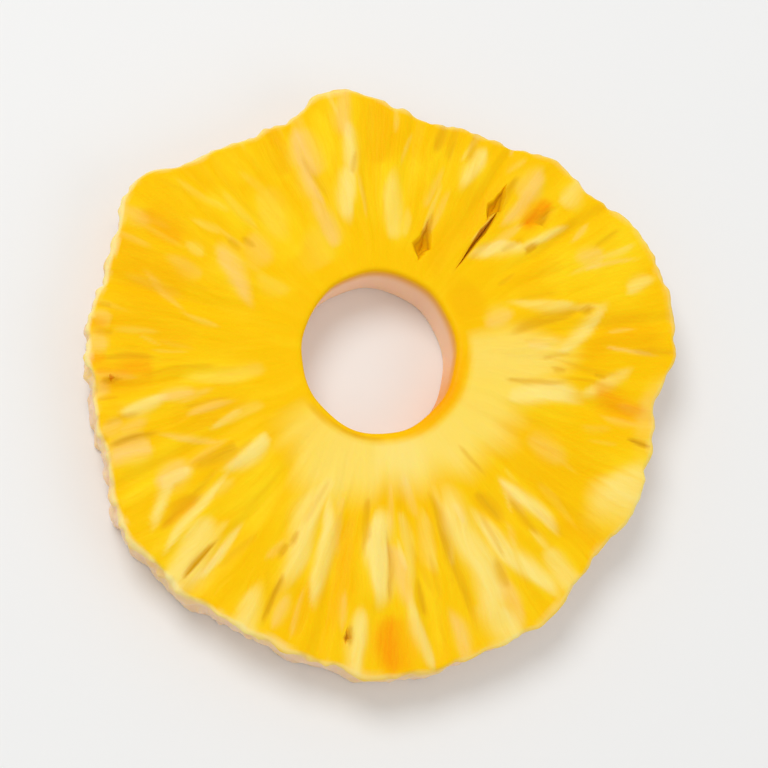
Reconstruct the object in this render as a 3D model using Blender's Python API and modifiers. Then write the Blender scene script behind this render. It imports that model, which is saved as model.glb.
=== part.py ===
"""A fresh pineapple ring: one peeled and cored slice that lies flat, 10 mm thick and about 93 mm across.

Units are metres, +Z is up, and the origin is under the middle of the slice, on what it lies on.
Angles go round the core's hole from +X towards +Y, and a reach is a distance from the hole's axis.
"""

import math

import bpy
import numpy as np

MM = 0.001

# The slice as it was cut. Waves are (number in a full turn, share of the height, start in radians)
SLICE_THICKNESS = 10.0 * MM
MEAN_RIM = 45.0 * MM
RIM_TAPER = 1.0 * MM  # how far the rim draws in on its way down
HOLE_RADIUS = 12.5 * MM
HOLE_OVAL = 0.5 * MM
HOLE_WAVES = ((2, 1.0, -0.9), (9, 0.16, 0.0))
EDGE_ROUND = 0.8 * MM
UNEVEN_CUT = 0.25 * MM
UNEVEN_WAVES = ((1, 1.0, 0.6), (3, 0.6, 1.9))

# The peeled rim: where two knife cuts meet, as degrees and reach in mm. It is straight in between
RIM_CORNERS = (
    (1, 48.1), (15, 48.9), (28, 47.6), (39, 44.5), (50, 43.7), (58, 41.3), (74, 39.5), (87, 40.9),
    (96, 43.4), (102, 42.8), (109, 39.4), (121, 39.7), (137, 42.2), (144, 46.9), (167, 43.9),
    (179, 45.6), (192, 45.0), (204, 46.2), (215, 48.9), (228, 49.4), (249, 49.0), (261, 49.5),
    (269, 51.2), (281, 49.7), (296, 48.9), (309, 47.3), (319, 45.4), (330, 47.3), (342, 45.1),
    (350, 44.5),
)
CORNER_ROUND = 2.5  # degrees to each side
CORNER_SAMPLES = 5
RIM_RIPPLE = 0.22 * MM
RIM_WAVES = ((17, 1.0, 0.4), (31, 0.7, 2.1), (53, 0.5, 1.2))

# Seams between the fruitlets, in degrees. Each is a valley that deepens towards the rim
SEAMS = (8, 33, 56, 80, 110, 137, 166, 190, 209, 232, 257, 279, 301, 319, 347)
SEAM_START = 17.0 * MM
SEAM_FULL = 38.0 * MM
SEAM_DEPTH = 0.7 * MM
SEAM_WIDTH = 1.2 * MM
UNDERSIDE_SHARE = 0.8  # of the depth on the upper face
UNDERSIDE_FLAT = 0.1 * SEAM_DEPTH  # a valley shallower than this is cut away below

# Bundles of fibre that stand up from the upper face: degrees, reach of both ends, width and height,
# in mm. They all run outwards
BUNDLES = (
    (5, 18, 32, 1.9, 0.35), (17, 21, 34, 1.5, 0.30), (36, 29, 41, 0.9, 0.45), (47, 34, 41, 1.3, 0.40),
    (63, 28, 37, 1.3, 0.30), (84, 20, 32, 1.8, 0.30), (97, 22, 42, 1.3, 0.40), (111, 20, 38, 1.6, 0.40),
    (138, 27, 36, 1.8, 0.25), (155, 20, 30, 1.8, 0.25), (194, 32, 42, 1.1, 0.30), (206, 37, 45, 1.9, 0.30),
    (218, 22, 31, 1.2, 0.45), (223, 33, 49, 0.9, 0.35), (232, 36, 48, 0.9, 0.30), (247, 25, 42, 1.5, 0.40),
    (253, 25, 41, 1.1, 0.35), (267, 26, 41, 1.4, 0.45), (276, 36, 49, 0.9, 0.30), (293, 25, 46, 1.8, 0.40),
    (302, 30, 46, 1.2, 0.35), (313, 27, 40, 0.9, 0.45), (332, 39, 47, 3.2, 0.25), (346, 23, 32, 1.6, 0.40),
    (354, 30, 40, 1.2, 0.30),
)
BUNDLE_TAPER = 3.0 * MM

# Pits that the eyes left in the rim wall, one to a fruitlet, above and below the middle in turn
PIT_DEPTH = 0.9 * MM
PIT_WIDTH = 1.7 * MM
PIT_STRAY = 2.0 * MM
PIT_TURN = 2.4  # radians from one pit's stray to the next
PIT_BEGINS = 0.9  # share of the way from the hole to the rim

# Slits and pockets in the upper face, each a kite with its deepest point where it is widest: degrees and
# reach of its middle, the direction that it runs in, in degrees, its length, width and depth in mm, and
# how far past its middle it is widest, as a share of its length. The first two are one long slit that
# widens outwards, the side pocket is a shallow hollow, and the last two are seed pockets at the rim
POCKETS = {
    "long_slit": (49.2, 24.4, 53.5, 12.8, 1.1, 2.0, 0.1),
    "long_slit_mouth": (52.1, 32.2, 59.0, 7.2, 2.6, 1.8, -0.12),
    "short_slit": (67.9, 20.6, 72.0, 7.4, 3.2, 2.0, -0.16),
    "side_pocket": (41.0, 34.8, 29.0, 8.4, 3.4, 0.9, 0.0),
    "rim_pocket": (188.3, 41.8, 98.0, 2.6, 1.5, 1.0, 0.1),
    "lower_pocket": (261.8, 44.2, 84.0, 3.2, 1.5, 1.0, -0.1),
}
POCKET_RISE = 1.2 * MM  # how far a cutter stands above the face

# How finely the solid is divided
STEPS_AROUND = 180
TOP_LOOPS = 11
UNDER_LOOPS = 8
WALL_LOOPS = 4
HOLE_LOOPS = 2

FLESH_COLOUR = (0.95, 0.56, 0.02, 1.0)
FLESH_ROUGHNESS = 0.4
SHARP_ANGLE = 50  # degrees


def clear_scene():
    for old in list(bpy.data.objects):
        bpy.data.objects.remove(old)


def new_collection(name):
    made = bpy.data.collections.new(name)
    bpy.context.scene.collection.children.link(made)
    return made


def flesh_material():
    material = bpy.data.materials.new("pineapple_flesh")
    material.use_nodes = True
    shader = material.node_tree.nodes["Principled BSDF"]
    shader.inputs["Base Color"].default_value = FLESH_COLOUR
    shader.inputs["Roughness"].default_value = FLESH_ROUGHNESS
    shader.inputs["Metallic"].default_value = 0.0
    return material


def smooth_step(low, high, value):
    share = np.clip((value - low) / (high - low), 0.0, 1.0)
    return share * share * (3.0 - 2.0 * share)


def bell(distance, width):
    return np.exp(-((distance / width) ** 2))


def waves(turn, terms):
    return sum(share * np.sin(number * turn + start) for number, share, start in terms)


def turn_from(degrees, turn):
    """The signed angle, in radians, from a direction in degrees to each turn."""
    return (turn - math.radians(degrees) + math.pi) % (2 * math.pi) - math.pi


def knife_cuts(turn):
    """Reach of the straight cuts that run from corner to corner of the rim."""
    corners = np.array(RIM_CORNERS)
    angles = np.radians(np.append(corners[:, 0], corners[0, 0] + 360.0))
    reaches = np.append(corners[:, 1], corners[0, 1]) * MM
    turn = (turn - angles[0]) % (2 * math.pi) + angles[0]
    first = np.clip(np.searchsorted(angles, turn, side="right") - 1, 0, len(corners) - 1)
    start, end = angles[first], angles[first + 1]
    inverse = np.sin(end - turn) / reaches[first] + np.sin(turn - start) / reaches[first + 1]
    return np.sin(end - start) / inverse


def rim_reach(turn):
    """The cuts with their corners rounded, and a slight ripple from the fibres."""
    spread = np.radians(np.linspace(-CORNER_ROUND, CORNER_ROUND, CORNER_SAMPLES))
    rounded = sum(knife_cuts(turn + shift) for shift in spread) / CORNER_SAMPLES
    return rounded + RIM_RIPPLE * waves(turn, RIM_WAVES)


def hole_reach(turn):
    return HOLE_RADIUS + HOLE_OVAL * waves(turn, HOLE_WAVES)


def seam_valleys(turn, reach):
    """Depth of the seams, which are nothing near the hole."""
    fade = smooth_step(SEAM_START, SEAM_FULL, reach)
    depth = np.zeros_like(reach)
    for degrees in SEAMS:
        across = reach * turn_from(degrees, turn)
        depth = np.maximum(depth, bell(across, SEAM_WIDTH))
    return SEAM_DEPTH * fade * depth


def fibre_bundles(turn, reach):
    """Height of the bundles, each of which fades in and out along its length."""
    height = np.zeros_like(reach)
    for degrees, start, end, width, rise in BUNDLES:
        fade_in = smooth_step(start * MM, start * MM + BUNDLE_TAPER, reach)
        fade_out = smooth_step(end * MM, end * MM - BUNDLE_TAPER, reach)
        across = reach * turn_from(degrees, turn)
        height = np.maximum(height, rise * MM * fade_in * fade_out * bell(across, width * MM))
    return height


def eye_pits(turn, height):
    """Depth of the pits in the rim wall, each midway between two seams."""
    depth = np.zeros_like(turn)
    for number, (before, after) in enumerate(zip(SEAMS, SEAMS[1:] + (SEAMS[0] + 360,))):
        level = SLICE_THICKNESS / 2 + PIT_STRAY * math.sin(PIT_TURN * number)
        across = MEAN_RIM * turn_from((before + after) / 2, turn)
        depth += bell(across, PIT_WIDTH) * bell(height - level, PIT_WIDTH)
    return PIT_DEPTH * depth


def ring_section():
    """The slice cut through once, as points at (distance from the axis, height), from the hole round."""
    top, inner, outer = SLICE_THICKNESS, HOLE_RADIUS, MEAN_RIM
    bend = EDGE_ROUND * (1 - math.sqrt(0.5))
    points = [(x, top) for x in np.linspace(inner + EDGE_ROUND, outer - EDGE_ROUND, TOP_LOOPS)]
    points.append((outer - bend, top - bend))
    points += [(outer, z) for z in np.linspace(top - EDGE_ROUND, EDGE_ROUND, WALL_LOOPS)]
    points.append((outer - bend, bend))
    points += [(x, 0.0) for x in np.linspace(outer - EDGE_ROUND, inner + EDGE_ROUND, UNDER_LOOPS)]
    points.append((inner + bend, bend))
    points += [(inner, z) for z in np.linspace(EDGE_ROUND, top - EDGE_ROUND, HOLE_LOOPS)]
    points.append((inner + bend, top - bend))
    return points


def turned_ring(collection):
    """The plain ring, turned from its section."""
    points = ring_section()
    edges = [(i, (i + 1) % len(points)) for i in range(len(points))]
    section = bpy.data.meshes.new("ring_section")
    section.from_pydata([(x, 0.0, z) for x, z in points], edges, [])
    blank = bpy.data.objects.new("ring_blank", section)
    collection.objects.link(blank)
    screw = blank.modifiers.new("Turn", "SCREW")
    screw.steps = screw.render_steps = STEPS_AROUND
    screw.use_merge_vertices = True
    screw.merge_threshold = 0.01 * MM
    graph = bpy.context.evaluated_depsgraph_get()
    mesh = bpy.data.meshes.new_from_object(blank.evaluated_get(graph))
    bpy.data.objects.remove(blank)
    return mesh


def shaped_ring(collection):
    """The slice: the plain ring drawn out to its rim, with the relief of its faces, and centred."""
    mesh = turned_ring(collection)
    points = np.empty(len(mesh.vertices) * 3)
    mesh.vertices.foreach_get("co", points)
    x, y, z = points.reshape(-1, 3).T
    turn = np.arctan2(y, x)
    out = (np.hypot(x, y) - HOLE_RADIUS) / (MEAN_RIM - HOLE_RADIUS)
    level = z / SLICE_THICKNESS

    hole = hole_reach(turn)
    rim = rim_reach(turn) - RIM_TAPER * (1 - level)
    reach = hole + out * (rim - hole) - smooth_step(PIT_BEGINS, 1.0, out) * eye_pits(turn, z)

    valleys = seam_valleys(turn, reach)
    upper = UNEVEN_CUT * waves(turn, UNEVEN_WAVES) + fibre_bundles(turn, reach) - valleys
    under = UNDERSIDE_SHARE * np.maximum(valleys - UNDERSIDE_FLAT, 0.0)
    height = z + level * upper + (1 - level) * under

    shaped = np.column_stack([reach * np.cos(turn), reach * np.sin(turn), height])
    middle = (shaped.min(axis=0) + shaped.max(axis=0)) / 2
    hole_at = (-middle[0], -middle[1])
    shaped += (*hole_at, 0.0)
    mesh.vertices.foreach_set("co", shaped.ravel())
    mesh.update()

    ring = bpy.data.objects.new("pineapple_ring", mesh)
    collection.objects.link(ring)
    return ring, hole_at


def pocket_cutter(name, hole_at, collection):
    """A four-sided cone, point down, that is a kite where it meets the upper face."""
    degrees, reach, heading, length, width, depth, belly = POCKETS[name]
    angle = math.radians(degrees)
    height = depth * MM + POCKET_RISE
    spread = height / depth
    bpy.ops.mesh.primitive_cone_add(vertices=4, radius1=0.5, depth=1.0)
    cutter = bpy.context.object
    cutter.name = name
    for point in cutter.data.vertices:
        point.co.x += belly * (1 - 2 * abs(point.co.x))
    cutter.scale = (length * spread, width * spread, height)
    cutter.rotation_euler = (math.pi, 0.0, math.radians(heading))
    cutter.location.x = hole_at[0] + reach * MM * math.cos(angle)
    cutter.location.y = hole_at[1] + reach * MM * math.sin(angle)
    cutter.location.z = SLICE_THICKNESS + POCKET_RISE - height / 2
    cutter.hide_render = True
    cutter.display_type = "WIRE"
    for old in list(cutter.users_collection):
        old.objects.unlink(cutter)
    collection.objects.link(cutter)


def cut_pockets(ring, cutters):
    cut = ring.modifiers.new("Pockets", "BOOLEAN")
    cut.operation = "DIFFERENCE"
    cut.solver = "EXACT"
    cut.operand_type = "COLLECTION"
    cut.collection = cutters


def main():
    clear_scene()
    parts = new_collection("pineapple_ring")
    cutters = new_collection("pocket_cutters")
    ring, hole_at = shaped_ring(parts)
    for name in POCKETS:
        pocket_cutter(name, hole_at, cutters)
    cut_pockets(ring, cutters)
    ring.data.materials.append(flesh_material())
    ring.data.shade_smooth()
    ring.data.set_sharp_from_angle(angle=math.radians(SHARP_ANGLE))
    print("hole axis at", [round(float(value) / MM, 2) for value in hole_at], "mm")


main()
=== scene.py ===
import math

import bmesh
import bpy
import numpy as np
from mathutils import Matrix, Vector


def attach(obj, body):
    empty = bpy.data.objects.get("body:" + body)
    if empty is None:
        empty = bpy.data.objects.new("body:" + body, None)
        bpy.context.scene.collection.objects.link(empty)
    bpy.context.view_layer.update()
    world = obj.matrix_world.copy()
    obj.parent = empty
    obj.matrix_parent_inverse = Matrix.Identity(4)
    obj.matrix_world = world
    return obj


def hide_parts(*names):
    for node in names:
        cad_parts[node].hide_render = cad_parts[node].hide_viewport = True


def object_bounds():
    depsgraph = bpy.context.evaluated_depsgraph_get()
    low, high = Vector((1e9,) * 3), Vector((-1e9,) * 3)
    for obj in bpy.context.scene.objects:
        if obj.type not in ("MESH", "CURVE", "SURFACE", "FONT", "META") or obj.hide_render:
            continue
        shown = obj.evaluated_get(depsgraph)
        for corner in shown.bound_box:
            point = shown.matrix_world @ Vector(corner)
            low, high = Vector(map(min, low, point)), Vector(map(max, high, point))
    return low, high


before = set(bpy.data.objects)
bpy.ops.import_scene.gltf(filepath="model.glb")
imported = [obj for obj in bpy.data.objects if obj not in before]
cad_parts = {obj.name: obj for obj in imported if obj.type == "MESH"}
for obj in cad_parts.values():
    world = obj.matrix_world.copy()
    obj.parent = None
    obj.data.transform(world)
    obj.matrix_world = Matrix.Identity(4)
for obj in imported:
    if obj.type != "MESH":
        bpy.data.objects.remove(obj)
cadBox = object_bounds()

# A pineapple ring on a pale table. Dictionaries hold millimetres and degrees unless a note says otherwise.
# Angles go round the hole from +X towards +Y, and a reach is a distance from the hole's middle.
mm = 0.001
fullTurn = 2 * math.pi


# The ring's form, with the same values as the solid that it stands for

ring = {
    "thickness": 10.0,
    "meanRim": 45.0,
    "rimTaper": 1.0,  # how far the rim draws in on its way down
    "holeRadius": 12.5,
    "holeAt": (-1.5, 3.95),
    "holeOval": 0.5,
    "holeWaves": ((2, 1.0, -0.9), (9, 0.16, 0.0)),  # number in a turn, share, start in radians
    "edgeRound": 0.8,
    "unevenCut": 0.25,
    "unevenWaves": ((1, 1.0, 0.6), (3, 0.6, 1.9)),
    "cornerRound": 2.5,
    "cornerSamples": 5,
    "rimRipple": 0.22,
    "rimWaves": ((17, 1.0, 0.4), (31, 0.7, 2.1), (53, 0.5, 1.2)),
    "rimCorners": (
        (1, 48.1), (15, 48.9), (28, 47.6), (39, 44.5), (50, 43.7), (58, 41.3), (74, 39.5), (87, 40.9),
        (96, 43.4), (102, 42.8), (109, 39.4), (121, 39.7), (137, 42.2), (144, 46.9), (167, 43.9),
        (179, 45.6), (192, 45.0), (204, 46.2), (215, 48.9), (228, 49.4), (249, 49.0), (261, 49.5),
        (269, 51.2), (281, 49.7), (296, 48.9), (309, 47.3), (319, 45.4), (330, 47.3), (342, 45.1),
        (350, 44.5),
    ),
}

# Valleys between the fruitlets, shallow pits of the eyes in the rim wall
fruitlets = {
    "seams": (8, 33, 56, 80, 110, 137, 166, 190, 209, 232, 257, 279, 301, 319, 347),
    "seamStart": 17.0,
    "seamFull": 38.0,
    "seamDepth": 0.7,
    "seamWidth": 1.2,
    "underShare": 0.8,  # how deep they are in the underside, as a share
    "underFlat": 0.07,  # where they are shallower than this, the underside stays flat
    "pitDepth": 0.9,
    "pitWidth": 1.7,
    "pitStray": 2.0,  # how far up and down the pits wander, and how fast from one to the next
    "pitTurn": 2.4,
    "pitBegins": 0.9,  # share of the way out where the pits begin
}

# Raised bundles of fibre: degrees, inner and outer reach, width, height
bundles = (
    (5, 18, 32, 1.9, 0.35), (17, 21, 34, 1.5, 0.30), (36, 29, 41, 0.9, 0.45), (47, 34, 41, 1.3, 0.40),
    (63, 28, 37, 1.3, 0.30), (84, 20, 32, 1.8, 0.30), (97, 22, 42, 1.3, 0.40), (111, 20, 38, 1.6, 0.40),
    (138, 27, 36, 1.8, 0.25), (155, 20, 30, 1.8, 0.25), (194, 32, 42, 1.1, 0.30), (206, 37, 45, 1.9, 0.30),
    (218, 22, 31, 1.2, 0.45), (223, 33, 49, 0.9, 0.35), (232, 36, 48, 0.9, 0.30), (247, 25, 42, 1.5, 0.40),
    (253, 25, 41, 1.1, 0.35), (267, 26, 41, 1.4, 0.45), (276, 36, 49, 0.9, 0.30), (293, 25, 46, 1.8, 0.40),
    (302, 30, 46, 1.2, 0.35), (313, 27, 40, 0.9, 0.45), (332, 39, 47, 3.2, 0.25), (346, 23, 32, 1.6, 0.40),
    (354, 30, 40, 1.2, 0.30),
)
bundleTaper = 3.0

# Slits and pockets: degrees and reach of the middle, direction, length, width, depth, and how far past the
# middle they are widest, as a share of the length
pockets = {
    "longSlit": (49.2, 24.4, 53.5, 12.8, 1.1, 2.0, 0.1),
    "longSlitMouth": (52.1, 32.2, 59.0, 7.2, 2.6, 1.8, -0.12),
    "shortSlit": (67.9, 20.6, 72.0, 7.4, 3.2, 2.0, -0.16),
    "sidePocket": (41.0, 34.8, 29.0, 8.4, 3.4, 0.9, 0.0),
    "rimPocket": (188.3, 41.8, 98.0, 2.6, 1.5, 1.0, 0.1),
    "lowerPocket": (261.8, 44.2, 84.0, 3.2, 1.5, 1.0, -0.1),
}
cutter = {
    "rise": 1.2,  # how far it stands above the face
    "cuts": 9,
    "ragged": (0.04, 17, 4),  # how far its sides stray, and how fast along it and down it
    "raggedFine": (0.015, 41, 9),  # the same, along it and across it
}

# What the finer mesh adds to the form
fine = {
    "stepsAround": 780,
    "topCuts": 52,
    "underCuts": 20,
    "rimCuts": 12,
    "holeCuts": 9,
    "roundSegments": 4,
    "weld": 0.001,
    "smoothTo": 55,  # edges that turn by more degrees stay sharp
    "cords": (110, 11.0, 0.13),  # fibres round the ring, their length, their height
    "threads": (260, 7.0, 0.06),
    "swells": (26, 7.0, 0.17),
    "bend": (0.02, 0.35, 5),  # how far the fibres bend, and how fast outwards and round the ring
    "calmTo": 26.0,  # reach within which the fibres are lower
    "calmShare": 0.15,
    "rimLumps": (95, 2.6, 0.40),
    "rimFray": (260, 1.3, 0.26),
    "rimBegins": 0.93,  # share of the way out where the rim's roughness begins
    "frayedSide": (212, 38, 0.8),  # degrees of its middle, its half width and how much rougher it is
    "holeLumps": (24, 6.0, 0.06),
    "holeEnds": 0.06,
    "streakRise": {"cream": 0.16, "peach": 0.13, "deep": -0.14, "brownAndShade": -0.28},
    "seed": 11,
}

# Streaks of the flesh, some of them painted shade lines along grooves and cracks, as (degrees, reach) of both
# ends, width and strength
streaks = {
    "cream": (
        (-1, 26.5, 13.5, 38.5, 1.5, 0.72), (23, 21, 14, 33.5, 1.1, 0.50),
        (15, 41.5, 16.5, 47.4, 1.2, 0.60), (49.5, 20.5, 36, 30.5, 1.4, 0.90),
        (37.2, 28, 34, 38.5, 0.7, 0.75), (40.5, 39, 41, 45, 1.7, 0.50), (62, 29, 62.3, 39, 1.3, 0.78),
        (84, 18, 84.5, 31, 1.6, 0.50), (101.2, 20, 98.7, 31.5, 1.5, 0.82),
        (98.2, 27, 96.5, 38, 1.2, 0.75), (119, 15.5, 119, 23, 3.0, 0.10),
        (129.5, 21, 127, 32, 2.4, 0.14), (147.5, 16.5, 147.5, 23, 1.4, 0.14),
        (151.5, 30.5, 151.5, 34.5, 0.9, 0.24), (194, 33, 194.6, 42, 1.2, 0.80),
        (191.5, 18, 190.5, 32, 1.4, 0.20), (212.5, 34, 212.5, 40.5, 1.0, 0.70),
        (212, 36.5, 219, 46, 1.1, 0.78), (217.4, 22, 218.6, 32, 1.4, 1.00),
        (219.2, 28, 224, 47.5, 0.8, 0.80), (226, 37, 228, 54, 2.9, 0.68),
        (231.8, 34, 231.8, 47, 0.7, 0.80), (241.5, 40, 243.5, 53, 1.7, 0.72),
        (247.2, 20, 247.4, 43, 2.1, 0.80), (249.6, 20, 254.5, 42.5, 1.3, 0.85),
        (264, 39.5, 265, 52, 1.5, 0.80), (267.3, 24, 267.8, 41, 2.1, 1.00),
        (275.3, 36.5, 277.9, 50.5, 1.1, 0.85), (275.5, 25, 276.5, 38, 1.0, 0.40),
        (283, 24, 283, 36, 1.2, 0.36), (292.2, 20.5, 293, 48, 2.7, 0.84),
        (292.5, 41, 294.5, 54, 2.6, 0.80), (296.8, 25, 305.5, 47.5, 1.7, 0.90),
        (309, 39, 311, 51, 2.0, 0.62), (313.2, 26, 313.6, 40, 1.2, 1.00), (330, 37, 333, 52, 5.6, 0.78),
        (343.2, 20.5, 348.8, 34, 2.3, 0.95), (348, 30.5, 358, 41, 1.3, 0.55),
        (257, 14, 257, 21, 1.6, 0.50), (206.5, 20, 206.5, 28, 1.0, 0.20),
    ),
    "peach": (
        (17, 17, 17, 22.8, 1.5, 0.60), (26, 35, 26.5, 41, 1.7, 0.45), (46.8, 34.5, 48.8, 42, 1.8, 0.75),
        (46.2, 28, 47.8, 38, 1.1, 0.72), (97, 34, 96.2, 43.8, 1.4, 0.68),
        (110, 29, 109.8, 39, 2.2, 0.90), (111, 22, 110.2, 34, 1.2, 0.85),
        (113.2, 17.5, 111.5, 28, 1.4, 0.72), (138.5, 21, 138.5, 27.5, 2.4, 0.34),
        (162.5, 20, 146.5, 30.5, 1.9, 0.78), (157, 29.5, 157, 36.5, 1.2, 0.24),
        (171.5, 29.5, 161.5, 38.5, 0.7, 0.30), (151.5, 40, 151.5, 46.5, 1.2, 0.45),
        (193.8, 29, 194, 36, 1.1, 0.65), (198, 37, 198, 43, 1.0, 0.45), (203, 38.5, 205, 47, 2.3, 0.85),
        (209.5, 34, 213, 41.5, 1.9, 0.72), (180, 41.5, 180, 45.6, 1.9, 0.55),
        (174, 41.5, 174, 44.6, 1.3, 0.45), (190, 41.5, 190.5, 45.4, 1.6, 0.55),
        (197, 41.5, 197.5, 45.6, 1.4, 0.45), (212, 27.5, 202, 37.5, 0.6, 0.50),
        (248, 40, 248, 47, 1.0, 0.60), (272.3, 30, 275.5, 41, 1.5, 0.75),
        (283.5, 40, 283.7, 49.5, 1.3, 0.66), (297, 39, 297, 48, 1.6, 0.60),
        (330, 26, 330, 34, 1.9, 0.28), (350, 40.5, 350.5, 47.5, 5.2, 0.48), (70, 40, 70, 44, 2.0, 0.30),
    ),
    "lemon": (
        (81, 16, 81, 35, 4.2, 0.95), (191, 17, 190, 33, 2.4, 0.85), (128, 19, 127, 34, 4.0, 0.80),
        (119, 14, 119, 24, 4.0, 0.60), (148, 15, 148, 24, 2.4, 0.60), (24, 28, 24, 51, 5.8, 0.95),
        (103, 26, 103, 41, 1.8, 0.90), (138.5, 27, 138.5, 38, 2.6, 0.80),
        (211.5, 38.5, 211.5, 48, 1.8, 0.80), (231, 21.5, 231, 37.5, 4.4, 0.75),
        (280, 36.5, 280, 49, 1.2, 0.90), (278.5, 25, 278.5, 42, 3.4, 0.65),
        (307.5, 30, 307.5, 43, 1.6, 0.40), (71, 27, 71, 37, 3.4, 0.50),
        (205.5, 33, 205.5, 40, 2.4, 0.55), (128, 33, 128, 42, 3.0, 0.40), (240, 23, 240, 38, 1.2, 0.40),
    ),
    "deep": (
        (0.5, 30, 6, 48, 3.6, 0.95), (28, 21.5, 28, 34.5, 3.4, 0.45), (115.6, 31, 115.6, 41, 2.0, 0.70),
        (252.3, 36, 252.3, 47.5, 1.4, 0.70), (258.8, 23.5, 258.8, 46, 2.3, 0.65),
        (277, 18.5, 277, 26, 4.0, 0.40), (316.8, 35.5, 316.8, 46.5, 1.6, 0.80),
        (329, 20.5, 330, 42.5, 6.4, 0.40), (160, 28, 160, 47, 6.5, 0.80), (177, 26, 176, 46, 4.0, 0.65),
        (88, 30, 88, 43, 3.4, 0.80), (201, 20, 201, 36, 2.6, 0.65), (56.5, 14, 56.5, 36, 2.4, 0.60),
        (30, 13, 30, 20, 4.6, 0.70), (151, 33, 151, 44, 3.0, 0.60),
    ),
    # darker brown lines: mostly painted shade along grooves and beside the pockets, some the flesh's own
    # darker fibre
    "brownAndShade": (
        (8.5, 20, 14.8, 35, 1.0, 0.60), (13, 32.6, 13, 35.6, 0.7, 0.75), (35, 29.2, 35, 32, 0.6, 0.70),
        (65, 33.5, 65, 42, 0.9, 0.50), (69.3, 33, 69.6, 41.5, 0.8, 0.45),
        (73, 34, 73.5, 41.5, 0.9, 0.50), (140, 24.6, 140, 27.6, 0.6, 0.50),
        (144, 26.6, 144, 29.6, 0.6, 0.50), (201, 36, 201, 45.5, 0.8, 0.70),
        (219.6, 35, 219.9, 45, 1.1, 0.75), (213, 27, 213, 36, 1.7, 0.60),
        (229.4, 38, 229.4, 48, 0.45, 0.95), (245.8, 38, 245.8, 47.5, 0.6, 0.70),
        (243.5, 33.6, 243.5, 36.6, 0.6, 0.70), (244.5, 31, 244.5, 34, 0.6, 0.60),
        (264, 23, 264, 33, 0.5, 0.60), (270.7, 27, 270.7, 40, 0.6, 0.65),
        (278.3, 35, 278.3, 42, 0.7, 0.60), (287.5, 22.5, 287.8, 47, 1.0, 0.62),
        (297.6, 35.4, 297.6, 41.6, 1.0, 0.60), (304, 26, 304, 33, 1.3, 0.60),
        (310.6, 29, 310.6, 38, 0.7, 0.55), (341.5, 40.6, 341.5, 45.2, 0.45, 0.85),
        (348.5, 20, 353.2, 31.5, 0.6, 0.50), (355, 33.6, 355, 36.4, 0.6, 0.60),
        (355.5, 27.2, 355.5, 29.8, 0.6, 0.50), (186, 25, 187.5, 38, 0.6, 0.35),
        (183, 33, 183.6, 43.5, 0.7, 0.55), (177.5, 41, 177.5, 44.6, 0.5, 0.50),
        (191.5, 40.5, 191.5, 44.6, 0.5, 0.50), (196, 38, 196.5, 45, 0.5, 0.45),
        (172, 41.5, 172, 44.4, 0.4, 0.40),
    ),
    # painted shade lines along the long slit and the small cracks, drawn in the slits' colour
    "crackShade": (
        (47.8, 16.8, 50.8, 37.0, 0.62, 0.35), (51.2, 28.5, 51.8, 38.0, 0.8, 0.50),
        (66, 17.5, 69, 25.5, 0.7, 0.60), (341.5, 40.6, 341.5, 45.2, 0.35, 0.50),
        (229.4, 39, 229.4, 47, 0.25, 0.45), (188, 40.2, 188, 43.6, 0.5, 0.60),
        (261.8, 42.2, 262.2, 46.4, 0.5, 0.60), (245.8, 40, 245.8, 46.5, 0.3, 0.35),
        (201, 39, 201, 44.5, 0.3, 0.40),
    ),
    "orange": (
        (42, 31, 41, 39, 1.5, 0.90), (151, 33, 151, 43, 2.2, 0.38), (186, 35, 187.5, 45, 2.8, 0.52),
        (219.5, 35.5, 219.8, 44.5, 1.0, 0.30), (271, 40.3, 269.8, 51, 2.9, 0.90),
        (351, 34, 349, 44, 2.4, 0.62), (182.5, 41.5, 182.5, 45.4, 1.2, 0.60),
        (186, 41, 186, 44.6, 1.1, 0.50), (176, 42, 176, 45, 1.0, 0.40),
    ),
}

streakForm = {
    "crispness": {
        "cream": 3.0, "peach": 2.6, "lemon": 2.0, "deep": 2.0, "brownAndShade": 2.6, "crackShade": 3.0, "orange": 1.7,
    },
    "belly": (0.35, 2.4),  # how far the widest place wanders, and how fast from one streak to the next
    "sway": (0.25, 0.45, 1.7),  # how far it sways in widths, and how fast outwards and from one to the next
    "haloShare": 0.85,  # the soft lighter yellow round a pale streak
    "haloWidth": 2.2,
    "jitter": (300, 2.4, 0.16),  # columns round the ring, their length, how far they shift the streak
    "jitterSeed": 40,
    "crispSide": 0.66,
    "softSide": 1.20,
    "tipWidth": 0.12,
    "tipPower": 0.7,
    "tipFade": 0.7,
}
scattered = {
    "cream": (48, 0.55),  # how many small ones, and the strongest
    "peach": (34, 0.55),
    "lemon": (30, 0.70),
    "deep": (30, 0.60),
    "brownAndShade": (46, 0.42),
    "crackShade": (0, 0.0),
    "orange": (0, 0.0),
    "weakest": 0.35,
    "start": (18, 40),
    "length": (4, 11),
    "turn": 3,
    "width": (0.3, 0.8),
    "quiet": ((112, 186), (316, 342)),  # where the flesh is nearly plain
    "quietShare": 0.35,
    "seed": 5,
}

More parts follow.
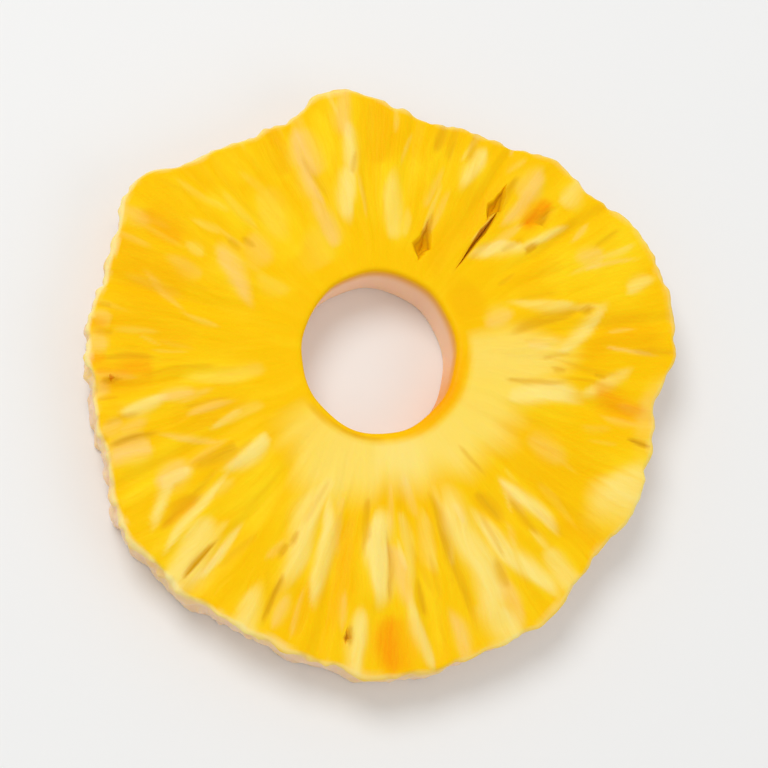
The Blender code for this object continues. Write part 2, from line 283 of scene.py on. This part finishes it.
# The pale zone round the hole: degrees, how far out it goes and how strong it is
coreGlow = (
    (0, 30.0, 0.60), (8, 29.0, 0.50), (16, 22.0, 0.0), (210, 19.0, 0.0), (224, 20.5, 0.42),
    (236, 23.0, 0.52), (246, 25.5, 0.62), (262, 25.0, 0.64), (270, 22.0, 0.86), (286, 21.5, 0.92),
    (298, 23.0, 0.68), (320, 22.5, 0.58), (342, 24.5, 0.50), (353, 28.0, 0.56),
)
core = {
    "begins": 14.3,  # reach of the crisp inner edge of the pale zone
    "innerEdge": (-0.6, 0.8),  # where the zone fades in and out, measured from its inner and outer reach
    "outerEdge": (3.0, -4.5),
    "strays": ((84, 30.0, 31, 1.3), (34, 30.0, 32, 1.95)),  # columns, length, seed, stray of the outer edge
    "edgeShadow": (222, 266, 0.7),  # a thin painted shadow line along the inner edge of the pale zone: first and last degrees, strength
    "edgeShadowFade": 8,
    "edgeShadowInside": 0.3,
    "edgeShadowWidth": 0.4,
    "orange": (326, 34, 0.8),  # where the hole's edge is orange: degrees, half width, strength
    "orangeEdge": (2.6, 0.2),
}


def smoothStep(low, high, value):
    share = np.clip((value - low) / (high - low), 0.0, 1.0)
    return share * share * (3.0 - 2.0 * share)


def bell(distance, width):
    return np.exp(-((distance / width) ** 2))


def waves(turn, terms):
    return sum(share * np.sin(number * turn + start) for number, share, start in terms)


def turnFrom(degrees, turn):
    return (turn - np.radians(degrees) + math.pi) % fullTurn - math.pi


def knifeCuts(turn):
    corners = np.array(ring["rimCorners"])
    angles = np.radians(np.append(corners[:, 0], corners[0, 0] + 360.0))
    reaches = np.append(corners[:, 1], corners[0, 1])
    turn = (turn - angles[0]) % fullTurn + angles[0]
    first = np.clip(np.searchsorted(angles, turn, side="right") - 1, 0, len(corners) - 1)
    start, end = angles[first], angles[first + 1]
    inverse = np.sin(end - turn) / reaches[first] + np.sin(turn - start) / reaches[first + 1]
    return np.sin(end - start) / inverse


def rimReach(turn):
    spread = np.radians(np.linspace(-ring["cornerRound"], ring["cornerRound"], ring["cornerSamples"]))
    rounded = sum(knifeCuts(turn + shift) for shift in spread) / len(spread)
    return rounded + ring["rimRipple"] * waves(turn, ring["rimWaves"])


def holeReach(turn):
    return ring["holeRadius"] + ring["holeOval"] * waves(turn, ring["holeWaves"])


def seamValleys(turn, reach):
    fade = smoothStep(fruitlets["seamStart"], fruitlets["seamFull"], reach)
    depth = np.zeros_like(reach)
    for degrees in fruitlets["seams"]:
        depth = np.maximum(depth, bell(reach * turnFrom(degrees, turn), fruitlets["seamWidth"]))
    return fruitlets["seamDepth"] * fade * depth


def fibreBundles(turn, reach):
    height = np.zeros_like(reach)
    for degrees, start, end, width, rise in bundles:
        fade = smoothStep(start, start + bundleTaper, reach) * smoothStep(end, end - bundleTaper, reach)
        height = np.maximum(height, rise * fade * bell(reach * turnFrom(degrees, turn), width))
    return height


def eyePits(turn, height):
    depth = np.zeros_like(turn)
    seams = fruitlets["seams"]
    for number, (before, after) in enumerate(zip(seams, seams[1:] + (seams[0] + 360,))):
        level = ring["thickness"] / 2 + fruitlets["pitStray"] * math.sin(fruitlets["pitTurn"] * number)
        across = ring["meanRim"] * turnFrom((before + after) / 2, turn)
        depth += bell(across, fruitlets["pitWidth"]) * bell(height - level, fruitlets["pitWidth"])
    return fruitlets["pitDepth"] * depth


def fibreNoise(turn, along, around, length, seed):
    # soft noise in columns that run outwards, from -1 to 1; each column starts where it likes
    draw = np.random.default_rng(seed)
    rows = 40
    grid = draw.uniform(-1.0, 1.0, (around, rows))
    starts = draw.uniform(0.0, rows, around)
    place = (turn / fullTurn) % 1.0 * around
    column = np.floor(place).astype(int)
    across = smoothStep(0.0, 1.0, place - column)

    def readColumn(number):
        number = number % around
        row = along / length + starts[number]
        below = np.floor(row).astype(int)
        up = smoothStep(0.0, 1.0, row - below)
        return grid[number, below % rows] * (1 - up) + grid[number, (below + 1) % rows] * up

    return readColumn(column) * (1 - across) + readColumn(column + 1) * across


def scatteredStreaks(kind, seed):
    number, strongest = scattered[kind]
    draw = np.random.default_rng(seed)
    made = []
    for _ in range(number):
        degrees = draw.uniform(0, 360)
        quiet = any(first < degrees < last for first, last in scattered["quiet"])
        strength = strongest * draw.uniform(scattered["weakest"], 1.0)
        strength *= scattered["quietShare"] if quiet else 1.0
        start = draw.uniform(*scattered["start"])
        end = start + draw.uniform(*scattered["length"])
        lastDegrees = degrees + draw.uniform(-scattered["turn"], scattered["turn"])
        made.append((degrees, start, lastDegrees, end, draw.uniform(*scattered["width"]), strength))
    return made


def streakField(turn, reach, kind):
    # the strongest streak at each point, and the strongest halo. Streaks are spindles, crisp on one side and
    # soft on the other, and never quite straight
    form = streakForm
    belly, bellyTurn = form["belly"]
    sway, swayOut, swayTurn = form["sway"]
    columns, columnLength, jitter = form["jitter"]
    seed = scattered["seed"] + list(streaks).index(kind)
    field, halo = np.zeros_like(reach), np.zeros_like(reach)
    for number, streak in enumerate(streaks[kind] + tuple(scatteredStreaks(kind, seed))):
        firstDegrees, start, lastDegrees, end, width, strength = streak
        share = np.clip((reach - start) / (end - start), 0.0, 1.0)
        spindle = np.sin(math.pi * share ** (1.0 + belly * math.sin(bellyTurn * number)))
        across = reach * turnFrom(firstDegrees + (lastDegrees - firstDegrees) * share, turn)
        across += sway * width * np.sin(swayOut * reach + swayTurn * number)
        glow = form["haloShare"] * strength * spindle * bell(across, form["haloWidth"] * width)
        halo = np.maximum(halo, glow)

        across += jitter * fibreNoise(turn, reach, columns, columnLength, number + form["jitterSeed"])
        side = 1 if number % 2 else -1
        sideWidth = np.where(across * side > 0, form["crispSide"], form["softSide"])
        taper = form["tipWidth"] + (1.0 - form["tipWidth"]) * spindle ** form["tipPower"]
        fall = np.exp(-(np.abs(across / (sideWidth * width * taper)) ** form["crispness"][kind]))
        field = np.maximum(field, strength * smoothStep(0.0, form["tipFade"], spindle) * fall)
    return field, halo


def coreZone(turn, reach):
    # the pale zone round the hole, crisp inside and drawn out into fibres outside
    degrees = np.degrees(turn) % 360
    marks, outer, strength = np.array(coreGlow + ((360, *coreGlow[0][1:]),)).T
    outer = np.interp(degrees, marks, outer)
    for columns, length, seed, stray in core["strays"]:
        outer = outer + stray * fibreNoise(turn, reach, columns, length, seed)
    inner = [core["begins"] + step for step in core["innerEdge"]]
    zone = smoothStep(*inner, reach) * smoothStep(*[outer + step for step in core["outerEdge"]], reach)
    return zone * np.interp(degrees, marks, strength)


# a thin painted shadow line along the inner edge of the pale zone, on one side of the hole
def coreEdgeShadow(turn, reach):
    degrees = np.degrees(turn) % 360
    first, last, strength = core["edgeShadow"]
    window = smoothStep(first - core["edgeShadowFade"], first, degrees)
    window = window * smoothStep(last + core["edgeShadowFade"], last, degrees)
    return strength * window * bell(reach - core["begins"] + core["edgeShadowInside"], core["edgeShadowWidth"])


def holeOrange(turn, toHole):
    degrees, spread, strength = core["orange"]
    around = bell(np.degrees(turnFrom(degrees, turn)), spread)
    return strength * around * smoothStep(*core["orangeEdge"], toHole)


def deselectAll():
    if bpy.context.mode != "OBJECT":
        bpy.ops.object.mode_set(mode="OBJECT")
    bpy.ops.object.select_all(action="DESELECT")


def selectEdges(test):
    # selects the edges whose middle passes the test, in edit mode
    mesh = bmesh.from_edit_mesh(bpy.context.object.data)
    for edge in mesh.edges:
        middle = (edge.verts[0].co + edge.verts[1].co) / 2 / mm
        edge.select_set(False)
        edge.select = bool(test(middle, edge.calc_length() / mm))
    mesh.select_flush_mode()
    bmesh.update_edit_mesh(bpy.context.object.data)


def turnPlainRing():
    # a rectangle of the ring's section, its corners rounded and its sides divided, spun round the hole
    thickness, inner, outer = ring["thickness"], ring["holeRadius"], ring["meanRim"]
    middle = ((inner + outer) / 2 * mm, 0.0, thickness / 2 * mm)
    deselectAll()
    bpy.ops.mesh.primitive_plane_add(size=1.0, location=middle, rotation=(math.pi / 2, 0.0, 0.0))
    piece = bpy.context.object
    piece.name = "freshRing"
    piece.scale = ((outer - inner) * mm, thickness * mm, 1.0)
    bpy.ops.object.transform_apply(location=True, rotation=True, scale=True)
    bpy.ops.object.mode_set(mode="EDIT")
    bpy.ops.mesh.select_mode(type="EDGE")
    bpy.ops.mesh.select_all(action="SELECT")
    bpy.ops.mesh.bevel(offset=ring["edgeRound"] * mm, segments=fine["roundSegments"], affect="VERTICES")
    bpy.ops.mesh.delete(type="ONLY_FACE")
    long, near = 2 * ring["edgeRound"], 0.1
    sides = (
        (fine["topCuts"], lambda middle, length: length > long and middle.z > thickness - near),
        (fine["underCuts"], lambda middle, length: length > long and middle.z < near),
        (fine["rimCuts"], lambda middle, length: length > long and middle.x > outer - near),
        (fine["holeCuts"], lambda middle, length: length > long and middle.x < inner + near),
    )
    for cuts, test in sides:
        selectEdges(test)
        bpy.ops.mesh.subdivide(number_cuts=cuts)
    bpy.ops.mesh.select_all(action="SELECT")
    bpy.ops.mesh.spin(steps=fine["stepsAround"], angle=fullTurn, center=(0, 0, 0), axis=(0, 0, 1))
    bpy.ops.mesh.select_all(action="SELECT")
    bpy.ops.mesh.remove_doubles(threshold=fine["weld"] * mm)
    bpy.ops.mesh.normals_make_consistent(inside=False)
    bpy.ops.object.mode_set(mode="OBJECT")
    return piece


def readPoints(piece):
    # the mesh's points in the unit that the piece is modelled in
    points = np.empty(len(piece.data.vertices) * 3)
    piece.data.vertices.foreach_get("co", points)
    return points.reshape(-1, 3)


def upperRelief(turn, reach):
    # how far the upper face stands above or below its plain height
    cords, threads, swells = fine["cords"], fine["threads"], fine["swells"]
    bend, outwards, around = fine["bend"]
    bent = turn + bend * np.sin(outwards * reach + around * turn)
    grain = cords[2] * fibreNoise(bent, reach, cords[0], cords[1], fine["seed"])
    grain += threads[2] * fibreNoise(bent, reach, threads[0], threads[1], fine["seed"] + 1)
    calm = fine["calmShare"]
    grain *= calm + (1.0 - calm) * smoothStep(ring["holeRadius"], fine["calmTo"], reach)
    grain += swells[2] * fibreNoise(turn, reach, swells[0], swells[1], fine["seed"] + 2)
    for kind, rise in fine["streakRise"].items():
        grain += rise * streakField(turn, reach, kind)[0]
    uneven = ring["unevenCut"] * waves(turn, ring["unevenWaves"])
    return uneven + fibreBundles(turn, reach) - seamValleys(turn, reach) + grain


def wallRoughness(turn, height, out):
    # lumps and frayed fibre on the rim wall, a smoother cut in the hole
    lumps, fray, hole = fine["rimLumps"], fine["rimFray"], fine["holeLumps"]
    rough = lumps[2] * fibreNoise(turn, height, lumps[0], lumps[1], fine["seed"] + 3)
    rough += fray[2] * fibreNoise(turn, height, fray[0], fray[1], fine["seed"] + 4)
    middle, spread, more = fine["frayedSide"]
    rough *= 1.0 + more * bell(np.degrees(turnFrom(middle, turn)), spread)
    smooth = hole[2] * fibreNoise(turn, height, hole[0], hole[1], fine["seed"] + 5)
    return smoothStep(fine["rimBegins"], 1.0, out) * rough + smoothStep(fine["holeEnds"], 0.0, out) * smooth


def shapeRing(piece):
    x, y, z = readPoints(piece).T / mm
    turn = np.arctan2(y, x)
    inner, outer, thickness = ring["holeRadius"], ring["meanRim"], ring["thickness"]
    out = (np.hypot(x, y) - inner) / (outer - inner)
    level = z / thickness
    hole = holeReach(turn)
    rim = rimReach(turn) - ring["rimTaper"] * (1 - level)
    reach = hole + out * (rim - hole)
    reach += wallRoughness(turn, z, out) - smoothStep(fruitlets["pitBegins"], 1.0, out) * eyePits(turn, z)

    under = fruitlets["underShare"] * np.maximum(seamValleys(turn, reach) - fruitlets["underFlat"], 0.0)
    height = z + level * upperRelief(turn, reach) + (1 - level) * under
    holeX, holeY = ring["holeAt"]
    shaped = np.column_stack([reach * np.cos(turn) + holeX, reach * np.sin(turn) + holeY, height])
    piece.data.vertices.foreach_set("co", (shaped * mm).ravel())
    piece.data.update()


def cutPocket(piece, name):
    # a four-sided cone, point down, with slightly ragged sides
    degrees, reach, heading, length, width, depth, belly = pockets[name]
    height = depth + cutter["rise"]
    spread = height / depth
    deselectAll()
    bpy.ops.mesh.primitive_cone_add(vertices=4, radius1=0.5, depth=1.0)
    cone = bpy.context.object
    bpy.ops.object.mode_set(mode="EDIT")
    bpy.ops.mesh.select_all(action="SELECT")
    bpy.ops.mesh.subdivide(number_cuts=cutter["cuts"])
    bpy.ops.object.mode_set(mode="OBJECT")
    points = readPoints(cone)
    x, y, z = points.T.copy()
    toEnds = 1 - 2 * np.abs(x)
    stray, along, deep = cutter["ragged"]
    fineStray, fineAlong, fineAcross = cutter["raggedFine"]
    points[:, 0] += belly * toEnds
    points[:, 1] += stray * np.sin(along * x + deep * z) * toEnds
    points[:, 1] += fineStray * np.sin(fineAlong * x + fineAcross * y)
    cone.data.vertices.foreach_set("co", points.ravel())
    cone.scale = (length * spread * mm, width * spread * mm, height * mm)
    cone.rotation_euler = (math.pi, 0.0, math.radians(heading))
    cone.location = (
        (ring["holeAt"][0] + reach * math.cos(math.radians(degrees))) * mm,
        (ring["holeAt"][1] + reach * math.sin(math.radians(degrees))) * mm,
        (ring["thickness"] + cutter["rise"] - height / 2) * mm,
    )
    bpy.ops.object.transform_apply(location=True, rotation=True, scale=True)
    deselectAll()
    piece.select_set(True)
    bpy.context.view_layer.objects.active = piece
    cut = piece.modifiers.new(name, "BOOLEAN")
    cut.operation = "DIFFERENCE"
    cut.solver = "EXACT"
    cut.object = cone
    bpy.ops.object.modifier_apply(modifier=name)
    bpy.data.objects.remove(cone)


def writeAttribute(piece, name, values):
    made = piece.data.attributes.new(name, "FLOAT", "POINT")
    made.data.foreach_set("value", np.clip(values, 0.0, 1.0).astype(np.float32))


# Where the walls, the rim's pale edge with its painted highlight, and the painted shade in the slits are
# painted. Two numbers are where a mask begins and is full, as a depth below the upper face or as a distance
# from the rim or the hole
paint = {
    "wallDepth": (0.5, 1.6),
    "rimWall": (1.8, 0.8),
    "holeWall": (1.2, 0.5),
    "edgeBand": (0.8, 0.2),
    "edgeShift": 0.1,
    "edgeDepth": (1.8, 0.6),
    "highlightSide": (180, 75, 0.35),  # where the painted highlight on the edge is strongest: degrees, half width, and the edge's share on the other side
    "slitFromRim": (1.6, 2.2),
    "slitFromHole": (1.2, 1.8),
    "slitAbove": 2.0,
    "slitDepth": (0.15, 0.8),
    "slitFloor": (0.6, 1.3, 0.8),  # where its floor takes the flesh's colour again, and how much of it
    "coreLemon": 1.4,
}


def paintRing(piece):
    # where each colour lies, as attributes that the material reads
    x, y, z = readPoints(piece).T / mm
    x, y = x - ring["holeAt"][0], y - ring["holeAt"][1]
    turn, reach = np.arctan2(y, x), np.hypot(x, y)
    toRim, toHole = rimReach(turn) - reach, reach - holeReach(turn)
    below = ring["thickness"] + upperRelief(turn, reach) - z

    made = {kind: streakField(turn, reach, kind) for kind in streaks}
    fields = {kind: field for kind, (field, halo) in made.items()}
    zone = coreZone(turn, reach)
    fields["cream"] = np.maximum(fields["cream"], zone)
    halos = [made["cream"][1], made["peach"][1], paint["coreLemon"] * zone]
    fields["lemon"] = np.max([fields["lemon"], *halos], axis=0)
    # the painted shadow line round the hole joins the darker lines
    fields["brownAndShade"] = np.maximum(fields["brownAndShade"], coreEdgeShadow(turn, reach))
    fields["orange"] = np.maximum(fields["orange"], holeOrange(turn, toHole))
    # the crack lines are painted shade and join the painted shade in the slits
    crackShade = fields.pop("crackShade")
    for kind, field in fields.items():
        writeAttribute(piece, kind, field)

    wall = smoothStep(*paint["wallDepth"], below)
    slope = ring["rimTaper"] * (1 - z / ring["thickness"])
    writeAttribute(piece, "rimWall", wall * smoothStep(*paint["rimWall"], toRim - slope))
    writeAttribute(piece, "holeWall", wall * smoothStep(*paint["holeWall"], toHole))

    # the rim's pale edge: partly the flesh's own pale edge, partly a painted highlight that is strongest
    # round 180 degrees
    side, spread, least = paint["highlightSide"]
    highlightSide = least + (1 - least) * bell(np.degrees(turnFrom(side, turn)), spread)
    edge = smoothStep(*paint["edgeBand"], np.abs(toRim - paint["edgeShift"]))
    writeAttribute(piece, "rimEdgeAndHighlight", edge * smoothStep(*paint["edgeDepth"], below) * highlightSide)

    # painted shade in the slits: brown just below their lips, fading to the flesh towards the floor, joined
    # by the crack lines
    inside = smoothStep(*paint["slitFromRim"], toRim) * smoothStep(*paint["slitFromHole"], toHole)
    floorBegins, floorFull, floorShare = paint["slitFloor"]
    slit = inside * (z > paint["slitAbove"]) * smoothStep(*paint["slitDepth"], below)
    slit = slit * (1 - floorShare * smoothStep(floorBegins, floorFull, below)) * (1 - fields["orange"])
    writeAttribute(piece, "slit", np.maximum(slit, crackShade))


# The flesh's material

fleshColours = {  # as they look, from 0 to 255
    "golden": (253, 198, 3),
    "lemon": (255, 212, 22),
    "deep": (249, 186, 2),
    "cream": (255, 226, 124),
    "peach": (254, 205, 106),
    # darker lines, mostly painted shade and partly darker fibre
    "brownAndShade": (224, 166, 16),
    "orange": (252, 160, 2),
    "rimWall": (248, 214, 186),
    "rimTop": (250, 208, 118),
    # the rim's pale edge, partly a painted highlight
    "rimEdgeAndHighlight": (250, 236, 176),
    "holeTop": (238, 176, 74),
    "holeWall": (255, 220, 198),
    # painted shade for the slits and the crack lines
    "slit": (206, 144, 12),
}
flesh = {
    "roughness": 0.42,
    "scatter": 0.30,
    "scatterReach": (1.0, 0.55, 0.12),
    "scatterScale": 1.4,
    "gloss": 0.08,  # specular level, where plain plastic has 0.5
    "ior": 1.36,
    "bump": (0.45, 0.4),  # strength, height
}

# The fibres that run through the flesh
fibre = {
    "driftScale": 130.0,  # a slow drift bends them, so that none of them is ruled
    "driftBy": 2.4,
    "broad": (6.0, 55.0, 2.0),  # how fine round the ring and outwards, detail
    "strand": (26.0, 90.0, 3.0),
    "fineStrand": (70.0, 150.0, 3.0),
    "pulpScale": 900.0,
    "lacunarity": 2.2,
    "downWall": 1.7,
    "aslant": (0.5, -0.37, 0.78),  # the reach runs aslant through the noise, so that no rings show
    "calm": (18, 32, 0.15),  # reach where they begin and are full, and their share near the hole
    "shares": {"cream": 0.6, "peach": 0.6, "deep": 0.4, "brownAndShade": 0.8, "orange": 0.7, "holeOrange": 0.3},
}

# How the fibres change the colours and the gloss. A pair that is named after a fibre says by how much, and
# above which value of the fibre it adds
mix = {
    "lemonBroad": (1.4, 0.5),
    "lemonStrand": (1.1, 0.5),
    "deepFine": (-1.1, 0.46),
    "deepStrand": (-0.5, 0.5),
    "rimTopBroad": (0.8, 0.45),
    "rimTopStrand": (1.6, 0.5),
    "rimTopShare": 0.5,
    "rimTopHeight": (4.0, 9.0),
    "holeTopHeight": (5.5, 9.0),
    "paleLeast": 0.02,  # so that the share of peach is never a division by nothing
    "wallCover": 0.9,
    "edgeCover": 0.7,
    "relief": (0.5, 0.4, 0.2),  # of the fine strands, the strands and the pulp
    "roughPulp": (0.25, 0.5),
    "roughStrand": (0.2, 0.5),
}


class Shade:
    # one socket, so that shader maths reads as plain sums

    def __init__(self, tree, socket=None):
        self.tree = tree
        self.socket = socket

    def node(self, kind, settings=None, inputs=None, output=0):
        made = self.tree.nodes.new(kind)
        for name, setting in (settings or {}).items():
            setattr(made, name, setting)
        for name, value in (inputs or {}).items():
            if isinstance(value, Shade):
                self.tree.links.new(value.socket, made.inputs[name])
            else:
                made.inputs[name].default_value = value
        return Shade(self.tree, made.outputs[output])

    def maths(self, operation, first, second=0.0):
        return self.node("ShaderNodeMath", {"operation": operation}, {0: first, 1: second})

    def __add__(self, other):
        return self.maths("ADD", self, other)

    def __radd__(self, other):
        return self.maths("ADD", other, self)

    def __sub__(self, other):
        return self.maths("SUBTRACT", self, other)

    def __rsub__(self, other):
        return self.maths("SUBTRACT", other, self)

    def __mul__(self, other):
        return self.maths("MULTIPLY", self, other)

    def __rmul__(self, other):
        return self.maths("MULTIPLY", other, self)

    def __truediv__(self, other):
        return self.maths("DIVIDE", self, other)

    def __pow__(self, other):
        return self.maths("POWER", self, other)

    def clamp(self):
        return self.node("ShaderNodeClamp", {}, {"Value": self})

    def between(self, low, high):
        return self.node(
            "ShaderNodeMapRange",
            {"interpolation_type": "SMOOTHSTEP"},
            {"Value": self, "From Min": low, "From Max": high},
        )

    def mixColour(self, first, second):
        # this socket is the factor
        return self.node("ShaderNodeMix", {"data_type": "RGBA"}, {0: self, 6: first, 7: second}, 2)

    def separate(self):
        return [self.node("ShaderNodeSeparateXYZ", {}, {0: self}, axis) for axis in range(3)]

    def combine(self, x, y, z):
        return self.node("ShaderNodeCombineXYZ", {}, {0: x, 1: y, 2: z})

    def attribute(self, name):
        return self.node("ShaderNodeAttribute", {"attribute_name": name}, {}, "Fac")


def linear(colour):
    def channel(value):
        value /= 255
        return value / 12.92 if value <= 0.04045 else ((value + 0.055) / 1.055) ** 2.4

    return tuple(channel(value) for value in colour) + (1.0,)


def driftedPlace(start, place):
    inputs = {"Vector": place, "Scale": fibre["driftScale"], "Detail": 1.0}
    drift = start.node("ShaderNodeTexNoise", {}, inputs, "Color")
    drift = start.node("ShaderNodeVectorMath", {"operation": "SUBTRACT"}, {0: drift, 1: (0.5, 0.5, 0.5)})
    by = fibre["driftBy"] * mm
    drift = start.node("ShaderNodeVectorMath", {"operation": "SCALE"}, {0: drift, "Scale": by})
    return start.node("ShaderNodeVectorMath", {"operation": "ADD"}, {0: place, 1: drift})


def fibreStrand(start, x, y, z, reach, size):
    # noise that is drawn out from the hole to the rim, and down the walls
    around, outward, detail = size
    aslantX, aslantY, aslantZ = fibre["aslant"]
    run = (reach + z * fibre["downWall"]) * outward
    aroundX, aroundY = x / reach * around, y / reach * around
    drawn = start.combine(aroundX + run * aslantX, aroundY + run * aslantY, run * aslantZ)
    inputs = {"Vector": drawn, "Scale": 1.0, "Detail": detail, "Lacunarity": fibre["lacunarity"]}
    return start.node("ShaderNodeTexNoise", {}, inputs)


def fleshMaterial():
    material = bpy.data.materials.new("pineappleFlesh")
    material.use_nodes = True
    tree = material.node_tree
    shader = tree.nodes["Principled BSDF"]
    start = Shade(tree)
    shades = {name: linear(colour) for name, colour in fleshColours.items()}

    place = start.node("ShaderNodeTexCoord", {}, {}, "Object")
    holeX, holeY = (value * mm for value in ring["holeAt"])
    place = start.node("ShaderNodeMapping", {}, {"Vector": place, "Location": (-holeX, -holeY, 0.0)})
    z = place.separate()[2]
    x, y, _ = driftedPlace(start, place).separate()
    reach = (x * x + y * y) ** 0.5
    names = ("broad", "strand", "fineStrand")
    broad, strand, fineStrand = (fibreStrand(start, x, y, z, reach, fibre[name]) for name in names)
    pulp = start.node("ShaderNodeTexNoise", {}, {"Vector": place, "Scale": fibre["pulpScale"], "Detail": 3.0})
    calmFrom, calmTo, least = fibre["calm"]
    calm = least + (1.0 - least) * reach.between(calmFrom * mm, calmTo * mm)

    def amount(name, share=None):
        # an attribute that is stronger on some fibres than on their neighbours
        stronger = calm * (share or fibre["shares"][name]) * (2.0 * strand + fineStrand - 1.5)
        return (start.attribute(name) * (1.0 + stronger)).clamp()

    def shift(name, fibres):
        by, middle = mix[name]
        return by * (fibres - middle)

    def higher(name):
        low, high = mix[name]
        return z.between(low * mm, high * mm)

    # the cut face: golden flesh, lighter and darker fibres, and the streaks over them
    lemon = start.attribute("lemon") + shift("lemonBroad", broad) + calm * shift("lemonStrand", strand)
    dark = amount("deep") + calm * (shift("deepFine", fineStrand) + shift("deepStrand", strand))
    cream, peach = amount("cream"), amount("peach")
    pale = (cream + peach).clamp()
    peachShare = (peach / (cream + peach + mix["paleLeast"])).clamp()
    colour = lemon.clamp().mixColour(shades["golden"], shades["lemon"])
    colour = dark.clamp().mixColour(colour, shades["deep"])
    colour = pale.mixColour(colour, peachShare.mixColour(shades["cream"], shades["peach"]))
    # the darker lines: mostly painted shade along grooves, partly darker fibre
    colour = amount("brownAndShade").mixColour(colour, shades["brownAndShade"])
    colour = amount("orange").mixColour(colour, shades["orange"])

    # the walls, yellower towards the top, and the rim's pale edge, partly a painted highlight that is
    # strongest on one side
    yellowed = mix["rimTopShare"] * higher("rimTopHeight")
    yellowed += shift("rimTopStrand", strand) + shift("rimTopBroad", broad)
    rimColour = yellowed.clamp().mixColour(shades["rimWall"], shades["rimTop"])
    colour = (start.attribute("rimWall") * mix["wallCover"]).mixColour(colour, rimColour)
    holeColour = higher("holeTopHeight").mixColour(shades["holeWall"], shades["holeTop"])
    holeColour = amount("orange", fibre["shares"]["holeOrange"]).mixColour(holeColour, shades["orange"])
    colour = (start.attribute("holeWall") * mix["wallCover"]).mixColour(colour, holeColour)
    colour = (start.attribute("rimEdgeAndHighlight") * mix["edgeCover"]).mixColour(colour, shades["rimEdgeAndHighlight"])
    # painted shade in the slits and along the crack lines
    colour = start.attribute("slit").mixColour(colour, shades["slit"])

    strength, height = flesh["bump"]
    fineRelief, strandRelief, pulpRelief = mix["relief"]
    relief = calm * (fineRelief * fineStrand + strandRelief * strand) + pulpRelief * pulp
    bump = start.node("ShaderNodeBump", {}, {"Strength": strength, "Distance": height * mm, "Height": relief})
    roughness = flesh["roughness"] + shift("roughPulp", pulp) + shift("roughStrand", strand)

    tree.links.new(colour.socket, shader.inputs["Base Color"])
    tree.links.new(roughness.clamp().socket, shader.inputs["Roughness"])
    tree.links.new(bump.socket, shader.inputs["Normal"])
    shader.inputs["Subsurface Weight"].default_value = flesh["scatter"]
    shader.inputs["Subsurface Radius"].default_value = flesh["scatterReach"]
    shader.inputs["Subsurface Scale"].default_value = flesh["scatterScale"] * mm
    shader.inputs["IOR"].default_value = flesh["ior"]
    shader.inputs["Specular IOR Level"].default_value = flesh["gloss"]
    return material


def makeRing():
    piece = turnPlainRing()
    print("plain ring", len(piece.data.vertices), "points")
    shapeRing(piece)
    for name in pockets:
        cutPocket(piece, name)
    deselectAll()
    piece.select_set(True)
    bpy.context.view_layer.objects.active = piece
    bpy.ops.object.mode_set(mode="EDIT")
    bpy.ops.mesh.select_all(action="SELECT")
    bpy.ops.mesh.quads_convert_to_tris()
    bpy.ops.object.mode_set(mode="OBJECT")
    bpy.ops.object.shade_smooth_by_angle(angle=math.radians(fine["smoothTo"]))
    paintRing(piece)
    piece.data.materials.clear()
    piece.data.materials.append(fleshMaterial())
    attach(piece, "root")
    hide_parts("pineapple_ring")
    print("ring", len(piece.data.polygons), "triangles")


# The table, the light and the camera

studio = {  # metres and watts
    "tableSize": 3.0,
    "tableColour": (238, 238, 237),
    "tableRoughness": 0.8,
    "sky": 0.64,
    "keyPlace": (-0.35, 0.40, 0.85),
    "keySize": 0.50,
    "keyWatts": 4.1,
    "fillPlace": (0.55, -0.35, 0.60),
    "fillSize": 0.60,
    "fillWatts": 0.7,
}
view = {
    "lean": 19.5,  # away from straight down
    "towards": 230.0,
    "lens": 120.0,
    "sensor": 36.0,
    "share": 0.78,  # of the picture's width that the ring fills
    "near": 0.01,  # metres
}


def makeTable():
    deselectAll()
    bpy.ops.mesh.primitive_plane_add(size=studio["tableSize"])
    table = bpy.context.object
    table.name = "table"
    material = bpy.data.materials.new("paleTable")
    material.use_nodes = True
    shader = material.node_tree.nodes["Principled BSDF"]
    shader.inputs["Base Color"].default_value = linear(studio["tableColour"])
    shader.inputs["Roughness"].default_value = studio["tableRoughness"]
    table.data.materials.append(material)


def areaLight(name, place, size, watts):
    deselectAll()
    bpy.ops.object.light_add(type="AREA", location=place)
    light = bpy.context.object
    light.name = name
    light.data.shape = "DISK"
    light.data.size = size
    light.data.energy = watts
    light.rotation_euler = Vector(place).to_track_quat("Z", "Y").to_euler()


def makeLight():
    world = bpy.data.worlds.new("softRoom")
    world.use_nodes = True
    world.node_tree.nodes["Background"].inputs["Color"].default_value = (1.0, 1.0, 1.0, 1.0)
    world.node_tree.nodes["Background"].inputs["Strength"].default_value = studio["sky"]
    bpy.context.scene.world = world
    areaLight("keyLight", studio["keyPlace"], studio["keySize"], studio["keyWatts"])
    areaLight("fillLight", studio["fillPlace"], studio["fillSize"], studio["fillWatts"])
    bpy.context.scene.view_settings.view_transform = "Standard"


def makeCamera():
    low, high = (Vector(corner) for corner in cadBox)
    middle = (low + high) / 2
    lean, towards = math.radians(view["lean"]), math.radians(view["towards"])
    back = Vector((math.sin(lean) * math.cos(towards), math.sin(lean) * math.sin(towards), math.cos(lean)))
    turned = Vector((0.0, 0.0, 1.0)).rotation_difference(back).to_matrix().to_4x4()
    distance = (high.x - low.x) / view["share"] * view["lens"] / view["sensor"]
    deselectAll()
    bpy.ops.object.camera_add()
    camera = bpy.context.object
    camera.data.lens = view["lens"]
    camera.data.sensor_width = view["sensor"]
    camera.data.clip_start = view["near"]
    camera.matrix_world = Matrix.Translation(middle + back * distance) @ turned
    bpy.context.scene.camera = camera


makeRing()
makeTable()
makeLight()
makeCamera()
print("light and camera are set")
